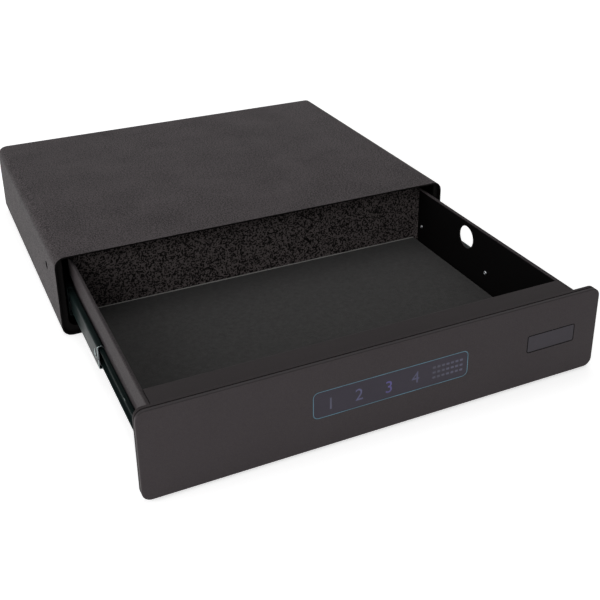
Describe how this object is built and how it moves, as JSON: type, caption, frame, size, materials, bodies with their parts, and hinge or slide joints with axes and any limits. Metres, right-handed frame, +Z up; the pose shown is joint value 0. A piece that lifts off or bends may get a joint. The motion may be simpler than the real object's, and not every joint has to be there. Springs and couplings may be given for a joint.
{
  "type": "under-bed drawer safe",
  "caption": "Low rectangular steel safe whose full-width drawer runs out on ball-bearing slides, with a touch keypad in the front and side bolts driven by a rack and pinion.",
  "frame": {"origin": "centre of the casing's underside, in the plane it stands on", "axes": "+X to the right seen from the front, +Y from the front towards the back, +Z up; the drawer opens towards -Y"},
  "size_m": [0.64, 0.892, 0.127],
  "materials": {
    "casing_paint": "fine-textured dark grey powder coat",
    "front_paint": "smooth satin dark grey paint",
    "inner_paint": "matt black-grey powder coat",
    "zinc_plate": "zinc-plated rolled steel",
    "bright_steel": "bright turned steel",
    "brass": "machined brass",
    "rubber": "matt black rubber",
    "liner": "dark felt-faced foam",
    "black_acrylic": "smooth dark touch surface",
    "light_guide": "clear light guide, lit blue",
    "cover_plastic": "fine matt dark grey plastic",
    "circuit_board": "green solder mask",
    "black_plastic": "matt black moulding",
    "cell_wrap": "plain wrapped cell"
  },
  "bodies": {
    "casing": {"casing_wrap": "casing_paint", "casing_back": "casing_paint", "casing_jamb": "inner_paint", "strike_left": "bright_steel", "slide_bracket_left": "zinc_plate", "slide_outer_left": "zinc_plate", "strike_right": "bright_steel", "slide_bracket_right": "zinc_plate", "slide_outer_right": "zinc_plate"},
    "drawer": {"drawer_pan": "inner_paint", "drawer_back": "inner_paint", "drawer_mat": "liner", "front_plate": "front_paint", "front_gasket": "rubber", "front_fascia": "front_paint", "keypad_light_guide": "light_guide", "keypad_lens": "black_acrylic", "keypad_board": "circuit_board", "lock_cylinder": "brass", "lock_nut": "zinc_plate", "lock_housing": "inner_paint", "lock_chassis": "zinc_plate", "lock_motor": "black_plastic", "battery_tray": "black_plastic", "control_board": "circuit_board", "battery_cell_1": "cell_wrap", "battery_cell_2": "cell_wrap", "battery_cell_3": "cell_wrap", "battery_cell_4": "cell_wrap", "slide_inner_left": "zinc_plate", "bolt_guide_left": "zinc_plate", "slide_inner_right": "zinc_plate", "bolt_guide_right": "zinc_plate"},
    "bolt_left": {"bolt_left": "bright_steel"},
    "bolt_right": {"bolt_right": "bright_steel"},
    "lock_pinion": {"lock_pinion": "brass"},
    "lock_plug": {"lock_plug": "brass"},
    "lock_cover": {"lock_cover": "cover_plastic"},
    "battery_door": {"battery_door": "black_plastic"},
    "slide_middle_left": {"slide_middle_left": "zinc_plate"},
    "ball_cage_outer_left": {"ball_cage_outer_left": "bright_steel"},
    "ball_cage_inner_left": {"ball_cage_inner_left": "bright_steel"},
    "slide_middle_right": {"slide_middle_right": "zinc_plate"},
    "ball_cage_outer_right": {"ball_cage_outer_right": "bright_steel"},
    "ball_cage_inner_right": {"ball_cage_inner_right": "bright_steel"}
  },
  "joints": [
    {"name": "drawer_slide", "type": "slide", "parent": "casing", "child": "drawer", "axis": [0, -1, 0], "range_m": [-0.3855, 0]},
    {"name": "slide_middle_left_travel", "type": "slide", "parent": "casing", "child": "slide_middle_left", "axis": [0, -1, 0], "range_m": [-0.19275, 0]},
    {"name": "ball_cage_outer_left_travel", "type": "slide", "parent": "casing", "child": "ball_cage_outer_left", "axis": [0, -1, 0], "range_m": [-0.09638, 0]},
    {"name": "ball_cage_inner_left_travel", "type": "slide", "parent": "casing", "child": "ball_cage_inner_left", "axis": [0, -1, 0], "range_m": [-0.28913, 0]},
    {"name": "slide_middle_right_travel", "type": "slide", "parent": "casing", "child": "slide_middle_right", "axis": [0, -1, 0], "range_m": [-0.19275, 0]},
    {"name": "ball_cage_outer_right_travel", "type": "slide", "parent": "casing", "child": "ball_cage_outer_right", "axis": [0, -1, 0], "range_m": [-0.09638, 0]},
    {"name": "ball_cage_inner_right_travel", "type": "slide", "parent": "casing", "child": "ball_cage_inner_right", "axis": [0, -1, 0], "range_m": [-0.28913, 0]},
    {"name": "bolt_left_throw", "type": "slide", "parent": "drawer", "child": "bolt_left", "axis": [-1, 0, 0], "range_m": [0, 0.0185]},
    {"name": "bolt_right_throw", "type": "slide", "parent": "drawer", "child": "bolt_right", "axis": [1, 0, 0], "range_m": [0, 0.0185]},
    {"name": "lock_pinion_turn", "type": "hinge", "parent": "drawer", "child": "lock_pinion", "pos_m": [0, -0.6184, 0.088], "axis": [0, 1, 0], "range_deg": [0, 117.8]},
    {"name": "lock_plug_turn", "type": "hinge", "parent": "drawer", "child": "lock_plug", "pos_m": [0.241, -0.6255, 0.065], "axis": [0, 1, 0], "range_deg": [0, 90]},
    {"name": "lock_cover_pull", "type": "slide", "parent": "drawer", "child": "lock_cover", "axis": [0, -1, 0], "range_m": [0, 0.015]},
    {"name": "battery_door_swing", "type": "hinge", "parent": "drawer", "child": "battery_door", "pos_m": [-0.136, -0.5834, 0.0584], "axis": [-1, 0, 0], "range_deg": [0, 100]}
  ],
  "couplings": [
    {"joint": "slide_middle_left_travel", "follows": "drawer_slide", "ratio": 0.5},
    {"joint": "ball_cage_outer_left_travel", "follows": "drawer_slide", "ratio": 0.25},
    {"joint": "ball_cage_inner_left_travel", "follows": "drawer_slide", "ratio": 0.75},
    {"joint": "slide_middle_right_travel", "follows": "drawer_slide", "ratio": 0.5},
    {"joint": "ball_cage_outer_right_travel", "follows": "drawer_slide", "ratio": 0.25},
    {"joint": "ball_cage_inner_right_travel", "follows": "drawer_slide", "ratio": 0.75},
    {"joint": "bolt_right_throw", "follows": "bolt_left_throw", "ratio": 1},
    {"joint": "lock_pinion_turn", "follows": "bolt_left_throw", "rad_per_m": 111.11}
  ]
}
